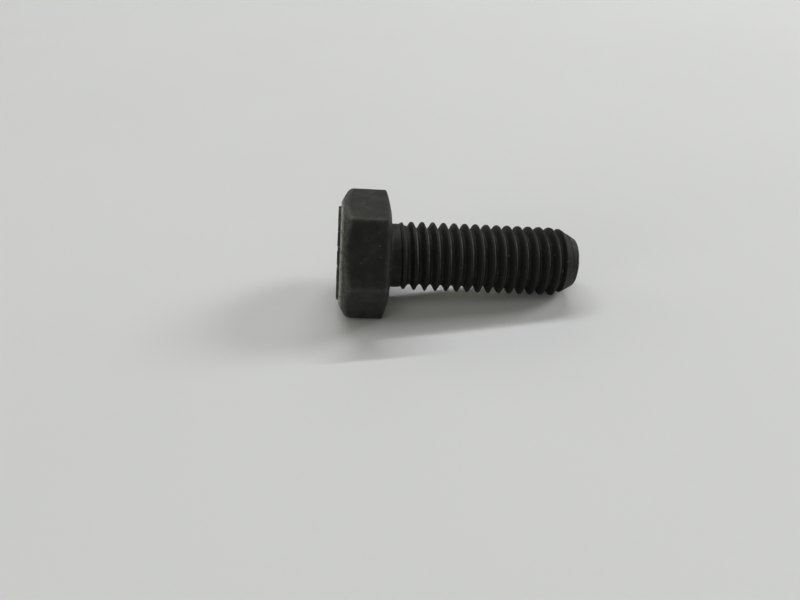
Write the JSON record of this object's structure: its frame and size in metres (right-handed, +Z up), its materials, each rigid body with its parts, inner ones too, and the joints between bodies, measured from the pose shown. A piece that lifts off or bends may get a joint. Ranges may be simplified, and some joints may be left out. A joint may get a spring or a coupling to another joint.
{
  "type": "hex head screw",
  "caption": "Hexagon head screw in black steel, threaded to just under its head, with a chamfered tip and raised dashes on the crown, lying on its side.",
  "frame": {"origin": "on the floor, under the centre of the lying screw's bounding box", "axes": "+Z up from the floor, +X along the screw from head to tip seen from above, +Y to the left of that"},
  "size_m": [0.0284, 0.0148, 0.0135],
  "materials": {
    "black_steel": "satin"
  },
  "bodies": {
    "root": {"hex_head_screw": "black_steel"}
  },
  "joints": []
}
